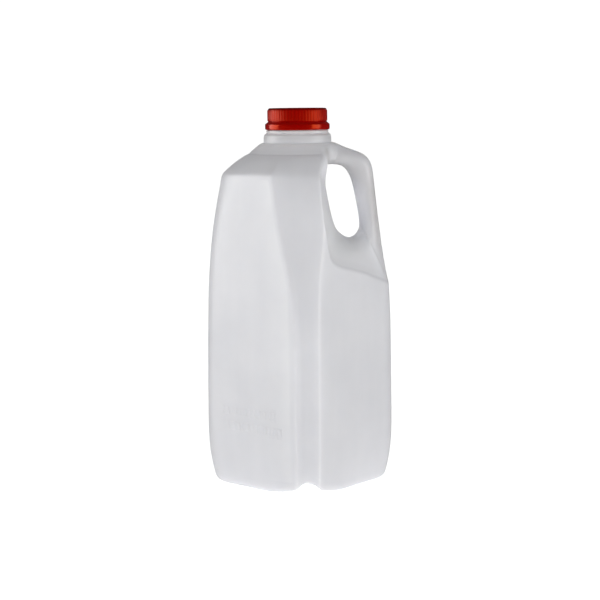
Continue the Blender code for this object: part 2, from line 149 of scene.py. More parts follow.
# Neck, turned, in radii and heights. Its hidden part fits inside the cap.
CAP_TOP = 254.2
CAP_BOTTOM = 239.8
CAP_PLATE = 1.5
CAP_GAP = 0.3
BORE_RADIUS = 18.2
BAND_BORE_RADIUS = 20.1
BAND_BORE_TOP = 244.6
NECK_TOP = CAP_TOP - CAP_PLATE - CAP_GAP
NECK_RADIUS = BORE_RADIUS - 0.4
BEAD_RADIUS = BAND_BORE_RADIUS - 0.6
BEAD_TOP = BAND_BORE_TOP - 2
BEAD_BOTTOM = CAP_BOTTOM - 0.1
BEAD_SLOPE = 0.8
THROAT = ((20.5, CAP_BOTTOM - 0.3), (20.8, CAP_BOTTOM - 0.6), (20.8, 237.7))
NECK_RING = ((22.0, 236.7), (22.5, 236.0), (22.8, 234.2))
NECK_FOOT = COLLAR_OUTER[1] - 4  # inside the collar
NECK_TURNS = 128
NECK_EDGE = 0.4
LEAST_TURN = math.radians(24)  # of a ring's edge that is rounded
SHARP_TURN = math.radians(38)  # of an edge that is shaded sharp


def smooth(at, table):
    """Value at a place in a table of (place, value), on a smooth curve through its points."""
    places = np.array([row[0] for row in table], float)
    values = np.array([row[1] for row in table], float)
    at = min(max(at, places[0]), places[-1])
    slopes = np.gradient(values, places)
    i = min(int(np.searchsorted(places, at, side="right")) - 1, len(places) - 2)
    gap = places[i + 1] - places[i]
    t = (at - places[i]) / gap
    start = (1 + 2 * t) * (1 - t) ** 2 * values[i] + t * (1 - t) ** 2 * gap * slopes[i]
    end = t * t * (3 - 2 * t) * values[i + 1] + t * t * (t - 1) * gap * slopes[i + 1]
    return float(start + end)


def along(points, share):
    """Point at a share of the length of a smooth path through points."""
    points = np.array(points, float)
    steps = np.linalg.norm(np.diff(points, axis=0), axis=1)
    lengths = np.concatenate([[0], np.cumsum(steps)])
    return [smooth(share * lengths[-1], list(zip(lengths, column))) for column in points.T]


def between(start, end, steps):
    """Points from just after the start to the end, evenly spaced."""
    start, end = np.array(start, float), np.array(end, float)
    return [tuple(start + (end - start) * k / steps) for k in range(1, steps + 1)]


def corner_arc(height):
    """Radius of the left and right corners, and how far from the axis their centres lie."""
    reach = smooth(height, CORNER_REACH)
    radius = (smooth(height, FACE_REACH) - reach) / (math.sqrt(2) - 1)
    return radius, reach - radius


def panel_edges(height):
    """Left and right edges of the front panel, as (x, y)."""
    reach = smooth(height, FACE_REACH)
    left, right = smooth(height, PANEL_LEFT), smooth(height, PANEL_RIGHT)
    left_y, right_y = -reach - left, right - reach
    if height > PANEL_TIP:
        right_y += (left_y - right_y) * (height - PANEL_TIP) / (SHOULDER_HEIGHT - PANEL_TIP)
    return np.array((left, left_y)), np.array((right, right_y))


def left_section(height):
    """Section from the left corner over the left face and the panel to the panel's right edge."""
    radius, centre = corner_arc(height)
    turns = [math.pi / 4 * k / CORNER_STEPS for k in range(CORNER_STEPS + 1)]
    points = [(-centre - radius * math.cos(a), -radius * math.sin(a)) for a in turns]
    left, right = panel_edges(height)
    ridge = left + np.array((-RIDGE_ROUND, RIDGE_ROUND)) / math.sqrt(2)
    points += between(points[-1], ridge, FACE_STEPS)
    side = RIDGE_ROUND / (right[0] - left[0])
    for share, sunk in ((0, 0), (side, GROOVE_SIDE), (0.5, 1), (1 - side, GROOVE_SIDE), (1, 0)):
        x, y = left + (right - left) * share
        points.append((x, y + sunk * smooth(height, GROOVE_DEPTH)))
    return points


def right_section(height):
    """Section from the panel's right edge over the right face to the right corner."""
    radius, centre = corner_arc(height)
    turns = [math.pi / 4 * (1 - k / CORNER_STEPS) for k in range(CORNER_STEPS + 1)]
    corner = [(centre + radius * math.cos(a), -radius * math.sin(a)) for a in turns]
    edge = panel_edges(height)[1]
    ridge = edge + np.array((RIDGE_ROUND, RIDGE_ROUND)) / math.sqrt(2)
    return [tuple(edge), tuple(ridge)] + between(ridge, corner[0], FACE_STEPS) + corner[1:]


def moved_in(x, y, inset):
    """The point, moved towards the axis."""
    share = 1 - inset / math.hypot(x, y)
    return x * share, y * share


def notched(x, y, height, share=1):
    """The point, lifted where the groove runs on under the base."""
    if abs(x) < NOTCH_HALF_WIDTH and height < NOTCH_FADE_HEIGHT:
        across = (1 + math.cos(math.pi * x / NOTCH_HALF_WIDTH)) / 2
        height += NOTCH_LIFT * across * share * (1 - height / NOTCH_FADE_HEIGHT) ** NOTCH_FADE_POWER
    return x, y, height


def wall_point(x, y, height, inset=0):
    """A point of the wall, with the foot's draught and the notch."""
    taper = FOOT_TAPER * max(1 - height / FOOT_TAPER_HEIGHT, 0) ** FOOT_TAPER_POWER
    share = RIDGE_FOOT_SHARE + (1 - RIDGE_FOOT_SHARE) * min(abs(x) / RIDGE_FOOT_WIDTH, 1)
    return notched(*moved_in(x, y, (inset + taper) * share), height)


def base_rows(section):
    """Rows from the centre of the base to the top of the foot's rounding."""
    rows = []
    for share, height, lift in BASE_ROWS:
        rows.append([notched(x * share, y * share, height, lift) for x, y in section])
    for turn in (math.pi / 2, math.pi / 4, 0):
        inset, height = FOOT_RADIUS * (1 - math.cos(turn)), FOOT_RADIUS * (1 - math.sin(turn))
        rows.append([wall_point(x, y, height, inset) for x, y in section])
    return rows


def shoulder_edge(x, y):
    """Height of the shoulder's edge over a point of the wall."""
    return SHOULDER_EDGE - SHOULDER_DROP * max(math.cos(2 * math.atan2(y, x)), 0)


def roof_column(x, y, swing):
    """Points of one column from the shoulder's edge to the collar's edge."""
    reach, turn, edge = math.hypot(x, y), math.atan2(y, x), shoulder_edge(x, y)
    slope = (LEDGE_HEIGHT - edge) / (reach - LEDGE_RADIUS)
    places = (
        (reach - SHOULDER_LIP[0], edge - SHOULDER_LIP[1]),
        (reach - SHOULDER_ROUND, edge + slope * SHOULDER_ROUND + ROOF_BULGE / 3),
        ((reach + LEDGE_RADIUS) / 2, (edge + LEDGE_HEIGHT) / 2 + ROOF_BULGE),
        (LEDGE_RADIUS + LEDGE_FLAT, LEDGE_HEIGHT - 0.5 * slope * LEDGE_FLAT),
        (LEDGE_RADIUS + LEDGE_ROUND, LEDGE_HEIGHT),
        (LEDGE_RADIUS - LEDGE_ROUND, LEDGE_HEIGHT + LEDGE_STEP),
        COLLAR_OUTER,
    )
    return [
        (radius * math.cos(turn + swing * share), radius * math.sin(turn + swing * share), height)
        for (radius, height), share in zip(places, ROOF_TWISTS)
    ]


def left_rows():
    """Rows of the left face and the panel, from the centre of the base to the collar's edge."""
    rows = base_rows(left_section(0))
    rows += [[wall_point(x, y, height) for x, y in left_section(height)] for height in WALL_HEIGHTS]
    top = left_section(SHOULDER_HEIGHT)
    heights = [shoulder_edge(x, y) - SHOULDER_ROUND for x, y in top]
    rows.append([(*left_section(height)[k], height) for k, height in enumerate(heights)])
    swings = [COLLAR_TWIST * (k / (len(top) - 1)) ** TWIST_POWER for k in range(len(top))]
    columns = [roof_column(x, y, swing) for (x, y), swing in zip(top, swings)]
    return rows + [list(row) for row in zip(*columns)]


def right_rows():
    """Rows of the right face, from the centre of the base to the pocket's crease."""
    rows = base_rows(right_section(0))
    tops = [top for _, top in POCKET_CREASE] + list(POCKET_CREASE_ENDS)
    swings = [x - right_section(top)[k][0] for k, (x, top) in enumerate(POCKET_CREASE)]
    swings += [0] * len(POCKET_CREASE_ENDS)
    for height in WALL_HEIGHTS[: WALL_HEIGHTS.index(PANEL_TIP) + 1]:
        past = max(height - EVEN_HEIGHT, 0) / (PANEL_TIP - EVEN_HEIGHT)
        row = []
        for k, (top, swing) in enumerate(zip(tops, swings)):
            own = min(height, EVEN_HEIGHT) + past * (top - EVEN_HEIGHT)
            x, y = right_section(own)[k]
            along_face = swing * past**CREASE_BEND
            row.append(wall_point(x + along_face, y + along_face, own))
        rows.append(row)
    return rows


def rim_point(turn):
    """Point of the finger hole's rim in one direction from its centre."""
    c, s = math.cos(turn), math.sin(turn)
    power = HOLE_BOTTOM_POWER
    if s > 0:
        power = HOLE_TOP_POWER if c > 0 else HOLE_CORNER_POWER
    across, up = abs(c) / HOLE_HALF[0], abs(s) / (HOLE_SQUASH * HOLE_HALF[1])
    reach = (across**power + up**power) ** (-1 / power)
    x, z = reach * c, reach * s / HOLE_SQUASH
    return np.array((HOLE_CENTRE[0] + x + HOLE_SLANT * z, 0, HOLE_CENTRE[1] + z))


def pocket_column(outer, leaving=(0, 0, 0), towards=0, fullness=WALL_FULLNESS, half_width=HANDLE_HALF_WIDTH):
    """Points of one column from the finger hole's rim to a point of the pocket's border."""
    turn = math.atan2(HOLE_SQUASH * (outer[2] - HOLE_CENTRE[1]), outer[0] - HOLE_CENTRE[0])
    rim = rim_point(turn)
    outer = np.array(outer)
    level = max(fullness * np.linalg.norm(outer - rim), 4 / 3 * half_width)
    first = rim + np.array((0, -level, 0))
    second = outer + leaving + towards * (rim - outer) / 3
    weights = [((1 - t) ** 3, 3 * t * (1 - t) ** 2, 3 * t * t * (1 - t), t**3) for t in POCKET_RINGS]
    return [tuple(a * rim + b * first + c * second + d * outer) for a, b, c, d in weights]


def roof_edge_column(point):
    """Column that starts on the panel's right edge, or above it on the roof, at the handle's root."""
    span = COLLAR_OUTER[1] - SHOULDER_HEIGHT
    up = min(max((point[2] - SHOULDER_HEIGHT) / span, 0), 1)
    straight = np.array(pocket_column(point, towards=1))
    root = np.array(pocket_column(point, ROOT_LEAVING, half_width=TOP_ROOT_HALF_WIDTH))
    return [tuple(place) for place in (1 - up) * straight + up * root]


def handle_half_width(x, step):
    """Half width of the handle, wider at its two roots, and how near its lower root it is."""
    top = min(max((CROWN_END - x) / (CROWN_END - COLLAR_OUTER[0]), 0), 1) ** ROOT_POWER
    low = max(1 - (HANDLE_STEPS - step) / LOW_ROOT_STEPS, 0) ** ROOT_POWER
    wider = top * (CROWN_HALF_WIDTH - HANDLE_HALF_WIDTH) + low * (LOW_ROOT_HALF_WIDTH - HANDLE_HALF_WIDTH)
    return HANDLE_HALF_WIDTH + wider, low


def leaving_crease(x, y, height, near_corner):
    """Direction in which the pocket's floor leaves its crease: up the face, leaning in."""
    radius, centre = corner_arc(height)
    inward = np.array((-1, 1)) / math.sqrt(2)
    if x > centre + radius / math.sqrt(2):
        inward = np.array((centre - x, -y)) / radius
    up_the_face = POCKET_RISE * np.array((*POCKET_LEAN * inward, 1))
    return (1 - near_corner) * up_the_face + near_corner * np.array((0, -POCKET_CORNER_OUT, 0))


def collar_arc(left, radius, height):
    """Points of the collar from the last column of the left rows round to the handle's outer line."""
    start = math.atan2(left[-1][-1][1], left[-1][-1][0])
    turns = [start * (1 - k / NECK_STEPS) for k in range(1, NECK_STEPS + 1)]
    return [(radius * math.cos(turn), radius * math.sin(turn), height) for turn in turns]


def pocket_rows(left, right):
    """Rows from the finger hole's rim to the pocket's border: crease, panel's edge, neck and handle."""
    columns = []
    for k, point in enumerate(reversed(right[-1])):
        near_corner = max(1 - k / CORNER_STEPS, 0)
        leaving = leaving_crease(*point, near_corner)
        half_width = near_corner * LOW_ROOT_HALF_WIDTH
        columns.append(pocket_column(point, leaving, near_corner, FLOOR_FULLNESS, half_width))
    above_tip = len(right)
    columns += [roof_edge_column(row[-1]) for row in left[above_tip:]]
    for k, (x, y, height) in enumerate(collar_arc(left, *COLLAR_OUTER)[:-1], 1):
        out = np.array((x, y, -COLLAR_SLOPE * COLLAR_OUTER[0])) / COLLAR_OUTER[0]
        half_width = TOP_ROOT_HALF_WIDTH + (CROWN_HALF_WIDTH - TOP_ROOT_HALF_WIDTH) * k / NECK_STEPS
        columns.append(pocket_column((x, y, height), COLLAR_REACH * out, half_width=half_width))
    for k in range(HANDLE_STEPS):
        x, height = along(HANDLE_LINE, k / HANDLE_STEPS)
        half_width, low = handle_half_width(x, k)
        crown = max(1 - k / CROWN_STEPS, 0)
        lean = CROWN_REACH * crown
        leaving = (lean, -4 / 3 * half_width * (1 - crown / 2), -COLLAR_SLOPE / 2 * lean)
        fullness = WALL_FULLNESS + low * (FLOOR_FULLNESS - WALL_FULLNESS)
        columns.append(pocket_column((x, 0, height), leaving, low, fullness, half_width))
    columns.append(columns[0])
    return [list(row) for row in zip(*columns)]


def add_patch(bm, rows):
    """A grid whose points are moved to rows of places."""
    across, up = len(rows[0]) - 1, len(rows) - 1
    for vert in bmesh.ops.create_grid(bm, x_segments=across, y_segments=up, size=0.5)["verts"]:
        column = round((vert.co.x + 0.5) * across)
        row = round((vert.co.y + 0.5) * up)
        vert.co = Vector(rows[row][column]) * MM


def neck_profile():
    """Outside of the neck from its hidden mouth down to inside the collar."""
    return (
        (0, NECK_TOP),
        (NECK_RADIUS, NECK_TOP),
        (NECK_RADIUS, BEAD_TOP + BEAD_SLOPE),
        (BEAD_RADIUS, BEAD_TOP),
        (BEAD_RADIUS, BEAD_BOTTOM),
        *THROAT,
        *NECK_RING,
        (NECK_RING[-1][0], NECK_FOOT),
        (0, NECK_FOOT),
    )


def turned(name, profile, steps):
    """A closed mesh spun about the Z axis from (radius, height) points."""
    bm = bmesh.new()
    chain = [bm.verts.new((radius * MM, 0, height * MM)) for radius, height in profile]
    edges = [bm.edges.new(pair) for pair in zip(chain, chain[1:])]
    bmesh.ops.spin(bm, geom=chain + edges, cent=(0, 0, 0), axis=(0, 0, 1), angle=2 * math.pi, steps=steps,
                   use_merge=True)
    bmesh.ops.remove_doubles(bm, verts=bm.verts, dist=MERGE)
    bmesh.ops.recalc_face_normals(bm, faces=bm.faces)
    return bm


def is_level(edge):
    """Whether an edge's ends are at one height."""
    low, high = (vert.co.z for vert in edge.verts)
    return abs(high - low) < MERGE


def round_rings(bm, radius, least_turn):
    """Rounds the sharp rings of a turned mesh."""
    rings = [
        edge for edge in bm.edges if edge.is_manifold and edge.calc_face_angle() > least_turn and is_level(edge)
    ]
    bmesh.ops.bevel(bm, geom=rings, offset=radius * MM, offset_type="OFFSET", affect="EDGES", segments=3,
                    profile=0.5, material=-1, clamp_overlap=True)


def finished(name, bm):
    """The mesh as an object of the scene, shaded smooth but at its sharp edges."""
    mesh = bpy.data.meshes.new(name)
    bm.to_mesh(mesh)
    bm.free()
    mesh.shade_smooth()
    mesh.set_sharp_from_angle(angle=SHARP_TURN)
    made = bpy.data.objects.new(name, mesh)
    bpy.context.scene.collection.objects.link(made)
    return made


def applied(made):
    """The object's mesh with its modifiers applied, as a bmesh. The object is removed."""
    evaluated = made.evaluated_get(bpy.context.evaluated_depsgraph_get())
    bm = bmesh.new()
    bm.from_mesh(bpy.data.meshes.new_from_object(evaluated))
    bpy.data.objects.remove(made)
    return bm


# Creases that stay half sharp when the cage is smoothed. Its points are found again by their rounded places.
SKIN_LEVELS = 3
PLACE_DIGITS = 2
CREASE_SHARPNESS = 0.55  # of the line under the handle's pocket
EDGE_SHARPNESS = 0.3  # of the panel's right edge beside the pocket
RIDGE_SHARPNESS = 0.35  # of the panel's left edge, above a height
RIDGE_SHARP_FROM = 120.0
ROOF_ROWS = 7  # the last of the left rows
LEDGE_ROW = -3

# Painted light and shade in the plastic's colour: above 0 it is painted paler, as painted light in shaded places
# and where light comes through a thin wall, and below 0 darker, as painted shade over highlights. The tuples of
# six go ring by ring, from the hole's rim to the pocket's border. A fade is how many columns a tone takes to
# come or go.
POCKET_TONE = 0.95
POCKET_EDGE_TONE = 0.7
POCKET_TONE_SHARES = (1.4, 1.2, 1, 1, 0.9, 0.1)
POCKET_FADE = 4
ROOT_TONES = (-0.4, -1.2)
GRIP_TONE = -1.0
GRIP_TONE_SHARES = (-1.2, -0.9, -0.2, 1.1, 1.2, 0.0)
GRIP_START = 2
GRIP_FADES = (4, 5)
CROWN_TONES = (-1.3, -1.2, -0.9, -0.3, 0.6, 0.9)
CROWN_END_COLUMN = 6
CROWN_FADE = 3
# Painted light on the collar's edge and on the throat under the cap's band, where the band's shadow falls, and
# painted shade on the neck's ring between them.
COLLAR_TONE = 1.1
NECK_TONE = -0.8
NECK_TONE_FROM = COLLAR_INNER[1] + 0.5
THROAT_TONE = 1.4
THROAT_TONE_FROM = 237.3

# Ridges are painted paler as highlights, and creases get a painted shade line.
FIRST_WALL_ROW = 9  # the wall's first row above the foot
LEFT_FACE_HIGHLIGHT = (0.58, 0.67, 0.82)  # across the face, the last on its ridge
RIGHT_RIDGE_HIGHLIGHT = 0.83
POCKET_CREASE_SHADE = 1.0
LEDGE_SHADE = 1.0

# The valley at the handle's lower root is softened, and the parting seam is raised.
ROOT_MIDDLE = (52.0, 14.0, 155.0)
ROOT_REACH = 19.0
ROOT_CLEAR = 6.0
ROOT_PASSES = 40
SEAM_HALF_WIDTH = 0.35
SEAM_HEIGHT = 0.18
SEAM_LOWEST = 1.5


def found(bm, points):
    """The cage's vertices at these points."""
    places = {tuple(round(value, PLACE_DIGITS) for value in point) for point in points}
    return [vert for vert in bm.verts if tuple(round(value / MM, PLACE_DIGITS) for value in vert.co) in places]


def crease(bm, points, sharpness):
    """Keeps the cage's edges between these points sharp when it is smoothed."""
    layer = bm.edges.layers.float.get("crease_edge") or bm.edges.layers.float.new("crease_edge")
    ends = set(found(bm, points))
    for edge in bm.edges:
        if ends.issuperset(edge.verts):
            edge[layer] = sharpness


def mark(bm, name, points, amount):
    """Writes on these points how much painted highlight or painted shade they carry, or their painted tone."""
    layer = bm.verts.layers.float.get(name) or bm.verts.layers.float.new(name)
    for vert in found(bm, points):
        vert[layer] = amount


def paint_pocket_light_and_shade(bm, rows, crease_columns, edge_columns):
    """Paints light and shade into the tone of the pocket's floor, the handle's grip and the crown above it."""
    before = len(rows[0]) - 1 - HANDLE_STEPS
    neck_columns = before - crease_columns - edge_columns
    # Painted light on the pocket's floor and the grip's inner edge, painted shade at the handle's roots and the
    # grip's outer flank; the crown is painted darker at the hole's rim and paler at its border.
    pocket = [POCKET_TONE * min(k / POCKET_FADE, 1) for k in range(crease_columns)]
    pocket += [POCKET_EDGE_TONE] * (edge_columns - len(ROOT_TONES))
    pocket += [*ROOT_TONES] + [0] * (neck_columns + HANDLE_STEPS)
    grip, crown = [0] * before, [0] * (before - neck_columns) + [1] * neck_columns
    for k in range(HANDLE_STEPS):
        coming, going = max(k - GRIP_START, 0) / GRIP_FADES[0], (HANDLE_STEPS - k) / GRIP_FADES[1]
        grip.append(GRIP_TONE * min(coming, 1, going))
        crown.append(min(max(CROWN_END_COLUMN - k, 0) / CROWN_FADE, 1))
    shares = zip(POCKET_TONE_SHARES, GRIP_TONE_SHARES, CROWN_TONES)
    for row, (pocket_share, grip_share, crown_tone) in zip(rows, shares):
        for k, point in enumerate(row[:-1]):
            tone = pocket[k] * pocket_share + grip[k] * grip_share + crown[k] * crown_tone
            mark(bm, "wall", [point], tone)


def half_cage():
    """The half skin, with its creases and its painted light, shade and highlights."""
    left, right = left_rows(), right_rows()
    arc = left[-1] + collar_arc(left, *COLLAR_OUTER)
    share = COLLAR_INNER[0] / COLLAR_OUTER[0]
    inner = [(x * share, y * share, COLLAR_INNER[1]) for x, y, _ in arc]
    bm = bmesh.new()
    add_patch(bm, left)
    add_patch(bm, right)
    pocket = pocket_rows(left, right)
    add_patch(bm, pocket)
    add_patch(bm, [arc, inner, [(0, 0, COLLAR_INNER[1])] * len(arc)])
    bmesh.ops.remove_doubles(bm, verts=bm.verts, dist=MERGE)
    crease(bm, right[-1], CREASE_SHARPNESS)
    crease(bm, [row[-1] for row in left[len(right) - 1 :]], EDGE_SHARPNESS)
    ridge = CORNER_STEPS + FACE_STEPS
    walls = left[FIRST_WALL_ROW : -ROOF_ROWS]
    crease(bm, [row[ridge] for row in walls if row[ridge][2] > RIDGE_SHARP_FROM], RIDGE_SHARPNESS)
    # Painted light and shade on the pocket, the handle's grip and crown, and the collar's edge.
    paint_pocket_light_and_shade(bm, pocket, len(right[-1]), len(left) - len(right))
    mark(bm, "wall", arc, COLLAR_TONE)
    # Painted highlights along the left face beside its ridge and along the panel's right edge.
    for column, amount in enumerate(LEFT_FACE_HIGHLIGHT, ridge - len(LEFT_FACE_HIGHLIGHT) + 1):
        mark(bm, "rub_and_highlight", [row[column] for row in walls], amount)
    mark(bm, "rub_and_highlight", [row[-1] for row in left[FIRST_WALL_ROW : len(right)]], RIGHT_RIDGE_HIGHLIGHT)
    # Painted shade lines along the pocket's crease and at the foot of the ledge.
    mark(bm, "painted_shade", right[-1][1:], POCKET_CREASE_SHADE)
    mark(bm, "painted_shade", left[LEDGE_ROW], LEDGE_SHADE)
    return bm


def smoothed_skin():
    """The whole skin: the half cage mirrored over the parting plane, under a Subdivision Surface."""
    bm = half_cage()
    everything = bm.verts[:] + bm.edges[:] + bm.faces[:]
    bmesh.ops.mirror(bm, geom=everything, matrix=Matrix.Identity(4), merge_dist=MERGE * 10, axis="Y")
    bmesh.ops.recalc_face_normals(bm, faces=bm.faces)
    made = finished("skin", bm)
    soft = made.modifiers.new("round", "SUBSURF")
    soft.levels = soft.render_levels = SKIN_LEVELS
    return made


def soften_root(bm):
    """Smooths the valley on either side of the handle's lower root, clear of the parting plane."""
    middle = Vector(ROOT_MIDDLE)
    near = []
    for vert in bm.verts:
        place = Vector((vert.co.x, abs(vert.co.y), vert.co.z)) / MM
        if (place - middle).length < ROOT_REACH and place.y > ROOT_CLEAR:
            near.append(vert)
    for _ in range(ROOT_PASSES):
        bmesh.ops.smooth_vert(bm, verts=near, factor=0.5, use_axis_x=True, use_axis_y=True, use_axis_z=True)


def raise_seam(bm):
    """Cuts a narrow strip along the parting plane and lifts its middle line."""
    for place in (-SEAM_HALF_WIDTH, 0, SEAM_HALF_WIDTH):
        everything = bm.verts[:] + bm.edges[:] + bm.faces[:]
        bmesh.ops.bisect_plane(bm, geom=everything, plane_co=(0, place * MM, 0), plane_no=(0, 1, 0),
                               dist=MERGE / 10)
    bm.normal_update()
    for vert in bm.verts:
        if abs(vert.co.y) < MERGE and vert.co.z > SEAM_LOWEST * MM:
            vert.co += vert.normal * SEAM_HEIGHT * MM


# Two rows of plain upright bars, uneven in width, that cuts in the mould leave standing on the left face.
MARK_ROWS = ((53.0, 15.0, 0), (43.0, 9.5, 3))  # height, how far from the ridge it starts, first width
MARK_WIDTHS = (2.8, 1.2, 2.0, 3.2, 1.6, 2.4, 1.2, 2.9, 1.9, 1.4)
MARK_COUNT = 12
MARK_GAP = 2.1
MARK_THICK = 1.0
MARK_TALL = 5.6
MARK_PROUD = 0.22
MARK_ROUND = 0.4


def add_bar(bm, middle, width):
    """One bar in the left front face's plane, most of it inside the wall."""
    turned_left = Matrix.Rotation(math.radians(-45), 4, "Z")
    sized = Matrix.Diagonal((width * MM, MARK_THICK * MM, MARK_TALL * MM, 1))
    bmesh.ops.create_cube(bm, size=1.0, matrix=Matrix.Translation(middle * MM) @ turned_left @ sized)


def moulded_marks():
    """Both rows of bars, counted from the ridge outwards."""
    bm = bmesh.new()
    for height, reach, first in MARK_ROWS:
        ridge = Vector((*left_section(height)[CORNER_STEPS + FACE_STEPS], height))
        sunk = MARK_THICK / 2 - MARK_PROUD
        for k in range(MARK_COUNT):
            width = MARK_WIDTHS[(first + k) % len(MARK_WIDTHS)]
            reach += width / 2
            add_bar(bm, ridge + Vector((sunk - reach, sunk + reach, 0)) / math.sqrt(2), width)
            reach += width / 2 + MARK_GAP
    bmesh.ops.bevel(bm, geom=bm.edges[:], offset=MARK_ROUND * MM, affect="EDGES", segments=3, profile=0.5,
                    material=-1)
    bmesh.ops.recalc_face_normals(bm, faces=bm.faces)
    return finished("marks", bm)


def unite(made, other):
    """Adds a piece to the skin's plastic."""
    joined = made.modifiers.new(other.name, "BOOLEAN")
    joined.operation = "UNION"
    joined.solver = "MANIFOLD"
    joined.object = other


skin = smoothed_skin()
neck_shape = turned("neck", neck_profile(), NECK_TURNS)
round_rings(neck_shape, NECK_EDGE, LEAST_TURN)
extras = [finished("neck", neck_shape), moulded_marks()]
for extra in extras:
    unite(skin, extra)
whole = applied(skin)
for extra in extras:
    bpy.data.objects.remove(extra)
soften_root(whole)
raise_seam(whole)
# Painted light on the throat under the cap's band, where its shadow falls, and painted shade on the neck's ring
# below.
wall_tone = whole.verts.layers.float["wall"]
for vert in whole.verts:
    if vert.co.z > THROAT_TONE_FROM * MM:
        vert[wall_tone] = THROAT_TONE
    elif vert.co.z > NECK_TONE_FROM * MM:
        vert[wall_tone] = NECK_TONE
bottle = finished("bottle_skin", whole)


def shader_group(name, inputs, outputs):
    """An empty shader node group with its sockets, and its input and output nodes."""
    made = bpy.data.node_groups.new(name, "ShaderNodeTree")
    for label, kind, value in inputs:
        socket = made.interface.new_socket(name=label, in_out="INPUT", socket_type=kind)
        if value is not None:
            socket.default_value = value
    for label, kind in outputs:
        made.interface.new_socket(name=label, in_out="OUTPUT", socket_type=kind)
    return made, made.nodes.new("NodeGroupInput"), made.nodes.new("NodeGroupOutput")


def noise(tree, coordinates, scale, detail=2.0, roughness=0.5):
    """Noise over the object's own coordinates, one feature to 1/scale metres."""
    node = tree.nodes.new("ShaderNodeTexNoise")
    node.inputs["Scale"].default_value = scale
    node.inputs["Detail"].default_value = detail
    node.inputs["Roughness"].default_value = roughness
    tree.links.new(coordinates, node.inputs["Vector"])
    return node.outputs["Fac"]


def stretched(tree, coordinates, scale):
    """Coordinates scaled unevenly, for streaks."""
    node = tree.nodes.new("ShaderNodeMapping")
    node.inputs["Scale"].default_value = scale
    tree.links.new(coordinates, node.inputs["Vector"])
    return node.outputs["Vector"]


def remap(tree, value, low, high, to_low=0.0, to_high=1.0):
    """A value mapped from one range to another, held at its ends."""
    node = tree.nodes.new("ShaderNodeMapRange")
    for socket, number in zip(("From Min", "From Max", "To Min", "To Max"), (low, high, to_low, to_high)):
        node.inputs[socket].default_value = number
    tree.links.new(value, node.inputs["Value"])
    return node.outputs["Result"]


def maths(tree, operation, first, second):
    """A Math node of two sockets or numbers."""
    node = tree.nodes.new("ShaderNodeMath")
    node.operation = operation
    for socket, value in zip(node.inputs, (first, second)):
        if isinstance(value, (int, float)):
            socket.default_value = value
        else:
            tree.links.new(value, socket)
    return node.outputs["Value"]


def mixed(tree, factor, first, second):
    """Two colours mixed by a factor; a colour may be a socket."""
    node = tree.nodes.new("ShaderNodeMix")
    node.data_type = "RGBA"
    tree.links.new(factor, node.inputs["Factor"])
    for socket, value in ((node.inputs["A"], first), (node.inputs["B"], second)):
        if isinstance(value, tuple):
            socket.default_value = value
        else:
            tree.links.new(value, socket)
    return node.outputs["Result"]


def attribute(tree, name):
    """A number that the mesh carries on its points."""
    node = tree.nodes.new("ShaderNodeAttribute")
    node.attribute_name = name
    return node.outputs["Fac"]


STREAK_STRETCH = (1, 1, 0.06)  # the streaks run upwards, as the plastic flowed


def make_mould_grain():
    """Sand-blasted grain of a moulded surface with faint flow streaks, as a height, and a slow unevenness."""
    made, given, result = shader_group(
        "mould grain",
        (("Vector", "NodeSocketVector", None), ("Grain Scale", "NodeSocketFloat", 900.0),
         ("Streak Share", "NodeSocketFloat", 0.3)),
        (("Height", "NodeSocketFloat"), ("Unevenness", "NodeSocketFloat")),
    )
    fine = made.nodes.new("ShaderNodeTexNoise")
    fine.inputs["Detail"].default_value = 3.0
    made.links.new(given.outputs["Vector"], fine.inputs["Vector"])
    made.links.new(given.outputs["Grain Scale"], fine.inputs["Scale"])
    streaks = noise(made, stretched(made, given.outputs["Vector"], STREAK_STRETCH), scale=420.0)
    part = maths(made, "MULTIPLY", streaks, given.outputs["Streak Share"])
    made.links.new(maths(made, "ADD", fine.outputs["Fac"], part), result.inputs["Height"])
    unevenness = noise(made, given.outputs["Vector"], scale=34.0, detail=4.0, roughness=0.6)
    made.links.new(unevenness, result.inputs["Unevenness"])
    return made


RUB_AND_HIGHLIGHT_STARTS = 0.65  # a rub, highlight or painted shade that is fainter than this doesn't show
SHADE_STARTS = 0.75
PATCH_RANGE = (0.35, 0.6)
PATCH_LEAST = 0.6  # share of a rub that is left in its weakest patches
RUB_POLISH = 0.1  # how far a rub takes the roughness down


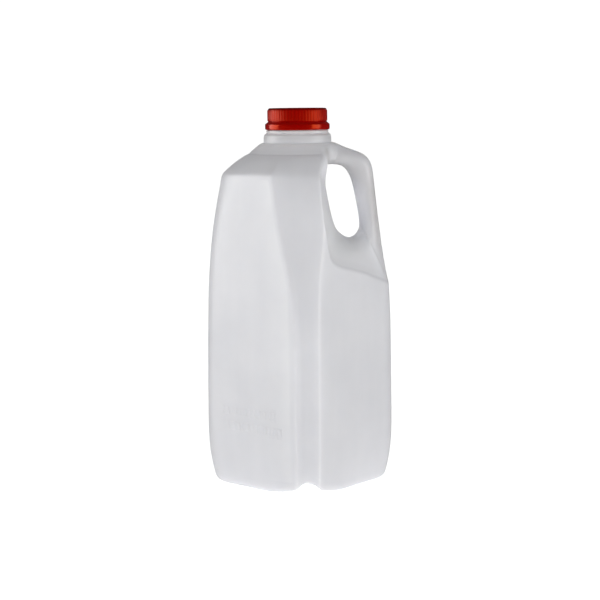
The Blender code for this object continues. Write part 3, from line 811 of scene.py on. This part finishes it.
def make_rub_highlight_and_shade():
    """Ridges rubbed paler and smoother, as wear and as painted highlight, and creases darkened by a painted
    shade line. Both are uneven.
    """
    made, given, result = shader_group(
        "rub, highlight and painted shade",
        (("Vector", "NodeSocketVector", None), ("Colour", "NodeSocketColor", None),
         ("Rub And Highlight Colour", "NodeSocketColor", (1, 1, 1, 1)),
         ("Painted Shade Colour", "NodeSocketColor", (0.3, 0.3, 0.3, 1)), ("Roughness", "NodeSocketFloat", 0.4),
         ("Rub And Highlight", "NodeSocketFloat", 0.5), ("Painted Shade", "NodeSocketFloat", 0.5)),
        (("Colour", "NodeSocketColor"), ("Roughness", "NodeSocketFloat")),
    )
    patchy = noise(made, given.outputs["Vector"], scale=55.0, detail=3.0)
    patchy = remap(made, patchy, *PATCH_RANGE, to_low=PATCH_LEAST)
    # Painted highlight on the bottle's ridges, and rubbed crests on the cap's ribs.
    rub_and_highlight = remap(made, attribute(made, "rub_and_highlight"), RUB_AND_HIGHLIGHT_STARTS, 1.0)
    rub_and_highlight = maths(made, "MULTIPLY", maths(made, "MULTIPLY", rub_and_highlight, patchy), given.outputs["Rub And Highlight"])
    # Painted shade in creases and hollows.
    shade_strength = remap(made, attribute(made, "painted_shade"), SHADE_STARTS, 1.0)
    shade_strength = maths(made, "MULTIPLY", shade_strength, given.outputs["Painted Shade"])
    colour = mixed(made, rub_and_highlight, given.outputs["Colour"], given.outputs["Rub And Highlight Colour"])
    colour = mixed(made, shade_strength, colour, given.outputs["Painted Shade Colour"])
    made.links.new(colour, result.inputs["Colour"])
    smoother = maths(made, "MULTIPLY", rub_and_highlight, RUB_POLISH)
    made.links.new(maths(made, "SUBTRACT", given.outputs["Roughness"], smoother), result.inputs["Roughness"])
    return made


mould_grain = make_mould_grain()
rub_highlight_and_shade = make_rub_highlight_and_shade()


def handled(tree, shader, coordinates, colour, roughness, rub_and_highlight, shade_strength):
    """Lays rub and painted highlight, and painted shade, over a shader's colour and roughness; each is its
    colour and its strength.
    """
    node = tree.nodes.new("ShaderNodeGroup")
    node.node_tree = rub_highlight_and_shade
    tree.links.new(coordinates, node.inputs["Vector"])
    tree.links.new(colour, node.inputs["Colour"])
    tree.links.new(roughness, node.inputs["Roughness"])
    node.inputs["Rub And Highlight Colour"].default_value, node.inputs["Rub And Highlight"].default_value = rub_and_highlight
    node.inputs["Painted Shade Colour"].default_value, node.inputs["Painted Shade"].default_value = shade_strength
    tree.links.new(node.outputs["Colour"], shader.inputs["Base Color"])
    tree.links.new(node.outputs["Roughness"], shader.inputs["Roughness"])


def principled(name):
    """A new material, its tree, its Principled shader and its object coordinates."""
    made = bpy.data.materials.new(name)
    made.use_nodes = True
    tree = made.node_tree
    place = tree.nodes.new("ShaderNodeTexCoord")
    return made, tree, tree.nodes["Principled BSDF"], place.outputs["Object"]


def grained(tree, shader, coordinates, scale, streak, strength, depth):
    """Puts the mould's grain on a shader's normal and gives back its slow unevenness."""
    node = tree.nodes.new("ShaderNodeGroup")
    node.node_tree = mould_grain
    node.inputs["Grain Scale"].default_value = scale
    node.inputs["Streak Share"].default_value = streak
    tree.links.new(coordinates, node.inputs["Vector"])
    bump = tree.nodes.new("ShaderNodeBump")
    bump.inputs["Strength"].default_value = strength
    bump.inputs["Distance"].default_value = depth * MM
    tree.links.new(node.outputs["Height"], bump.inputs["Height"])
    tree.links.new(bump.outputs["Normal"], shader.inputs["Normal"])
    return node.outputs["Unevenness"]


HDPE_CLEAR = (0.765, 0.768, 0.795, 1)
HDPE_CLOUDY = (0.815, 0.816, 0.84, 1)
# Colours of painted light and of painted shade.
HDPE_PAINTED_LIGHT = (0.95, 0.957, 0.995, 1)
HDPE_PAINTED_SHADE = (0.60, 0.59, 0.59, 1)
# Painted highlight on the ridges, and painted shade in the creases.
HDPE_RIDGE_HIGHLIGHT = ((0.92, 0.925, 0.935, 1), 0.8)  # colour and strength
HDPE_CREASE_SHADE = ((0.50, 0.50, 0.53, 1), 0.35)
HDPE_ROUGHNESS = (0.36, 0.46)
HDPE_SCATTER = (1.0, 0.97, 0.94)
FULL_TONE = 1.4  # the painted tone at which the colour is all painted light, or all painted shade
NOISE_RANGE = (0.35, 0.65)  # where most of a noise's values lie
FLOW_STRETCH = (1, 1, 0.12)
FLOW_SHARE = 0.3  # of the cloudiness; the rest is in rounder clouds


def make_natural_hdpe():
    """Milky, slightly see-through plastic with a satin skin, and light and shade painted in by the mesh's
    painted tone.
    """
    made, tree, shader, place = principled("natural HDPE")
    unevenness = grained(tree, shader, place, scale=1100.0, streak=0.4, strength=0.35, depth=0.05)
    cloud = noise(tree, place, scale=21.0, detail=3.0, roughness=0.55)
    flow = noise(tree, stretched(tree, place, FLOW_STRETCH), scale=90.0, detail=3.0)
    cloud, flow = maths(tree, "MULTIPLY", cloud, 1 - FLOW_SHARE), maths(tree, "MULTIPLY", flow, FLOW_SHARE)
    cloudy = remap(tree, maths(tree, "ADD", cloud, flow), *NOISE_RANGE)
    colour = mixed(tree, cloudy, HDPE_CLEAR, HDPE_CLOUDY)
    # Painted light and shade, carried on the mesh's points.
    wall = attribute(tree, "wall")
    colour = mixed(tree, remap(tree, wall, 0.0, FULL_TONE), colour, HDPE_PAINTED_LIGHT)
    colour = mixed(tree, remap(tree, wall, 0.0, -FULL_TONE), colour, HDPE_PAINTED_SHADE)
    roughness = remap(tree, unevenness, *NOISE_RANGE, *HDPE_ROUGHNESS)
    handled(tree, shader, place, colour, roughness, HDPE_RIDGE_HIGHLIGHT, HDPE_CREASE_SHADE)
    shader.inputs["IOR"].default_value = 1.53
    shader.inputs["Subsurface Weight"].default_value = 0.8
    shader.inputs["Subsurface Radius"].default_value = HDPE_SCATTER
    shader.inputs["Subsurface Scale"].default_value = 6 * MM
    return made


bottle.data.materials.append(make_natural_hdpe())
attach(bottle, "root")
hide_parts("bottle")

# ---------------------------------------------------------------------------------------------------------------
# Cap. The red screw cap with its tear band, injection-moulded of polyethylene in one piece and screwed on over
# the neck. Its profile is spun, the grip's worn ribs are drawn out of the skirt, and the band flares out below.
# ---------------------------------------------------------------------------------------------------------------
CAP_RADIUS = 19.7
CAP_EDGE = 0.9
CAP_BREAK = 0.3 * CAP_EDGE  # how far the middle of the rounded edge is in from its corner
CAP_RIM = 3.0  # width of the rim round the sunk top
CAP_DISH = 0.25
DISH_SLOPE = 0.4
RIB_RADIUS = 20.25
RIB_COUNT = 60
RIB_TOP = 253.1
RIB_BOTTOM = 245.4
RIB_END = 0.5
RIB_STEPS = 8
RIB_FLATNESS = 1.4  # above 1 the crests are flat
RIB_WORN = 0.25  # how deep the hollows between the ribs still are, of the rib's full height
HOLLOW_SHADE = 0.85
BAND_TOP = 243.6
BAND_RADIUS = 21.8
# The flare from the skirt to the band, and the band's foot.
FLARE = ((CAP_RADIUS + 0.4, RIB_BOTTOM - 0.6), (BAND_RADIUS - 0.3, BAND_TOP + 0.2),
         (BAND_RADIUS, BAND_TOP - 0.3))
BAND_FOOT = ((BAND_RADIUS + 0.05, CAP_BOTTOM + 0.6), (BAND_RADIUS - 0.35, CAP_BOTTOM))
CAP_ROUND = 0.25
CAP_LEAST_TURN = math.radians(40)  # of a ring's edge that is rounded
NEAR = 0.05  # slack in telling which points lie on the skirt or on the top's edge


def cap_profile():
    """The cap's outside from the centre of its top down to the band, and its inside back up to the centre."""
    return (
        (0, CAP_TOP - CAP_DISH),
        (CAP_RADIUS - CAP_RIM - DISH_SLOPE, CAP_TOP - CAP_DISH),
        (CAP_RADIUS - CAP_RIM, CAP_TOP),
        (CAP_RADIUS - CAP_EDGE, CAP_TOP),
        (CAP_RADIUS - CAP_BREAK, CAP_TOP - CAP_BREAK),
        (CAP_RADIUS, CAP_TOP - CAP_EDGE),
        (CAP_RADIUS, RIB_TOP - RIB_END),
        (CAP_RADIUS, RIB_BOTTOM + RIB_END),
        (CAP_RADIUS, RIB_BOTTOM),
        *FLARE,
        *BAND_FOOT,
        (BAND_BORE_RADIUS, CAP_BOTTOM),
        (BAND_BORE_RADIUS, BAND_BORE_TOP),
        (BORE_RADIUS, BAND_BORE_TOP),
        (BORE_RADIUS, CAP_TOP - CAP_PLATE),
        (0, CAP_TOP - CAP_PLATE),
    )


def draw_ribs(bm):
    """Draws the ribs out of the skirt, rubbed on their crests, with painted shade in the hollows between and on
    the top's edge.
    """
    rub_and_highlight, painted_shade, dull = (bm.verts.layers.float.new(name) for name in ("rub_and_highlight", "painted_shade", "dull"))
    for vert in bm.verts:
        radius, height = math.hypot(vert.co.x, vert.co.y) / MM, vert.co.z / MM
        if RIB_BOTTOM + 2 * NEAR < height < RIB_TOP - 2 * NEAR and radius > CAP_RADIUS - NEAR:
            wave = 0.5 + 0.5 * math.cos(RIB_COUNT * math.atan2(vert.co.y, vert.co.x))
            rise = min(RIB_FLATNESS * wave, 1)
            wider = 1 + (RIB_RADIUS - CAP_RADIUS) * (1 - RIB_WORN * (1 - rise)) / radius
            vert.co.x *= wider
            vert.co.y *= wider
            vert[rub_and_highlight] = rise
            vert[dull] = 1
            # Painted shade in the hollows between the ribs.
            vert[painted_shade] = HOLLOW_SHADE * (1 - wave)
        elif height > CAP_TOP - CAP_EDGE - CAP_ROUND - NEAR and radius > CAP_RADIUS - 1.5 * CAP_EDGE:
            # Painted shade on the top's rounded edge.
            vert[painted_shade] = 1


cap_shape = turned("cap", cap_profile(), RIB_COUNT * RIB_STEPS)
round_rings(cap_shape, CAP_ROUND, CAP_LEAST_TURN)
draw_ribs(cap_shape)
cap = finished("screw_cap", cap_shape)

CAP_RED_DEEP = (0.34, 0.0003, 0.0003, 1)
CAP_RED_PALE = (0.41, 0.0005, 0.0004, 1)
CAP_RED_RUB = ((0.42, 0.001, 0.0005, 1), 0.6)
# Colour of the painted shade in the rib hollows and on the top's edge.
CAP_RED_SHADE = ((0.13, 0.0002, 0.0002, 1), 0.7)
CAP_SHEEN = (1.0, 0.35, 0.05, 1)
CAP_ROUGHNESS = (0.16, 0.24)
SKIRT_DULLER = 0.2


def make_cap_red():
    """Glossy red plastic, duller on the ribbed skirt."""
    made, tree, shader, place = principled("cap red")
    unevenness = grained(tree, shader, place, scale=1500.0, streak=0.1, strength=0.15, depth=0.03)
    colour = mixed(tree, remap(tree, unevenness, 0.3, 0.7), CAP_RED_DEEP, CAP_RED_PALE)
    roughness = remap(tree, unevenness, *NOISE_RANGE, *CAP_ROUGHNESS)
    duller = maths(tree, "MULTIPLY", attribute(tree, "dull"), SKIRT_DULLER)
    handled(tree, shader, place, colour, maths(tree, "ADD", roughness, duller), CAP_RED_RUB, CAP_RED_SHADE)
    shader.inputs["IOR"].default_value = 1.3
    shader.inputs["Specular IOR Level"].default_value = 1.0
    shader.inputs["Specular Tint"].default_value = CAP_SHEEN
    shader.inputs["Metallic"].default_value = 0.15
    return made


cap.data.materials.append(make_cap_red())
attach(cap, "root")
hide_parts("cap")

# ---------------------------------------------------------------------------------------------------------------
# Studio. A pale, faintly glowing sweep rises behind the bottle. Three upright softboxes and a ceiling act on the
# matt plastic alone, and a reflector on each side shows in the gloss alone. The camera looks at the front corner
# from a little to the left and above.
# ---------------------------------------------------------------------------------------------------------------
SWEEP_WIDTH = 8.0
SWEEP_FRONT = -4.0
SWEEP_BACK = 2.0
SWEEP_BEND = 1.2
SWEEP_TOP = 3.0
SWEEP_STEPS = 80
SWEEP_DROP = 0.1 * MM  # keeps it clear of the strip the bottle rests on
SWEEP_PALE = (0.92, 0.92, 0.92, 1)
GLOW_FRONT = 0.1  # from here to the back the glow grows
GLOW_BACK = 0.7
FLOOR_GLOW = 0.68
WALL_GLOW = 0.74


def sweep_place(share):
    """(y, z) at a share of the way along the sweep."""
    flat = SWEEP_BACK - SWEEP_FRONT
    arc = SWEEP_BEND * math.pi / 2
    way = share * (flat + arc + SWEEP_TOP)
    if way < flat:
        return SWEEP_FRONT + way, -SWEEP_DROP
    turn = min((way - flat) / SWEEP_BEND, math.pi / 2)
    rest = max(way - flat - arc, 0)
    return SWEEP_BACK + SWEEP_BEND * math.sin(turn), SWEEP_BEND * (1 - math.cos(turn)) + rest - SWEEP_DROP


sweep_mesh = bmesh.new()
for vert in bmesh.ops.create_grid(sweep_mesh, x_segments=1, y_segments=SWEEP_STEPS, size=0.5)["verts"]:
    y, z = sweep_place(vert.co.y + 0.5)
    vert.co = (vert.co.x * SWEEP_WIDTH, y, z)
sweep = finished("sweep", sweep_mesh)
pale, pale_tree, pale_shader, pale_place = principled("pale floor")
pale_shader.inputs["Base Color"].default_value = SWEEP_PALE
pale_shader.inputs["Roughness"].default_value = 0.9
depth = pale_tree.nodes.new("ShaderNodeSeparateXYZ")
pale_tree.links.new(pale_place, depth.inputs["Vector"])
glow = remap(pale_tree, depth.outputs["Y"], GLOW_FRONT, GLOW_BACK, FLOOR_GLOW, WALL_GLOW)
pale_tree.links.new(glow, pale_shader.inputs["Emission Color"])
pale_shader.inputs["Emission Strength"].default_value = 1.0
sweep.data.materials.append(pale)
sweep.visible_glossy = False

CAMERA_AZIMUTH = -4.2  # degrees, left of the front corner
CAMERA_PLACE = (-79.6, -1084.1, 267.0)
CAMERA_TARGET = (0.55, 0, 123.7)
CAMERA_ROLL = math.radians(0.6)
CAMERA_LENS = 96.12
CAMERA_SENSOR = 36.0
SOFTBOX_AIM = Vector((0, 0, 0.13))
SOFTBOX_DISTANCE = 1.6
SOFTBOX_LIFT = 5  # degrees above the level


def add_softbox(name, azimuth, size, power, in_gloss=True, in_matt=True, elevation=SOFTBOX_LIFT):
    """A rectangular area light aimed at the bottle. Its azimuth is counted from the camera's, left negative."""
    lamp = bpy.data.lights.new(name, "AREA")
    lamp.shape = "RECTANGLE"
    lamp.size, lamp.size_y = size
    lamp.energy = power
    made = bpy.data.objects.new(name, lamp)
    bpy.context.scene.collection.objects.link(made)
    turn, lift = math.radians(azimuth + CAMERA_AZIMUTH), math.radians(elevation)
    out = Vector((math.sin(turn) * math.cos(lift), -math.cos(turn) * math.cos(lift), math.sin(lift)))
    made.location = SOFTBOX_AIM + SOFTBOX_DISTANCE * out
    made.rotation_euler = (-out).to_track_quat("-Z", "Y").to_euler()
    made.visible_glossy = in_gloss
    made.visible_diffuse = in_matt


add_softbox("left reflector", azimuth=-96, size=(1.3, 1.6), power=29.0, in_matt=False)
add_softbox("right reflector", azimuth=72, size=(1.0, 1.6), power=19.5, in_matt=False)
add_softbox("left softbox", azimuth=-44, size=(0.8, 1.5), power=9.6, in_gloss=False)
add_softbox("right front softbox", azimuth=40, size=(0.8, 1.5), power=7.0, in_gloss=False)
add_softbox("right softbox", azimuth=73, size=(1.2, 1.6), power=3.0, in_gloss=False)
add_softbox("ceiling", azimuth=0, size=(1.5, 1.5), power=6.0, in_gloss=False, elevation=88)

ROOM_LIGHT = 0.05  # off camera; the camera sees white
world = bpy.data.worlds.new("studio")
world.use_nodes = True
seen = world.node_tree.nodes.new("ShaderNodeLightPath")
haze = remap(world.node_tree, seen.outputs["Is Camera Ray"], 0.0, 1.0, to_low=ROOM_LIGHT)
world.node_tree.links.new(haze, world.node_tree.nodes["Background"].inputs["Color"])
bpy.context.scene.world = world

camera = bpy.data.objects.new("camera", bpy.data.cameras.new("camera"))
bpy.context.scene.collection.objects.link(camera)
place, target = Vector(CAMERA_PLACE) * MM, Vector(CAMERA_TARGET) * MM
camera.location = place
look = (target - place).to_track_quat("-Z", "Y").to_matrix()
camera.rotation_euler = (look @ Matrix.Rotation(-CAMERA_ROLL, 3, "Z")).to_euler()
camera.data.lens = CAMERA_LENS
camera.data.sensor_width = CAMERA_SENSOR
camera.data.clip_end = 20.0
bpy.context.scene.camera = camera
bpy.context.scene.view_settings.view_transform = "Standard"
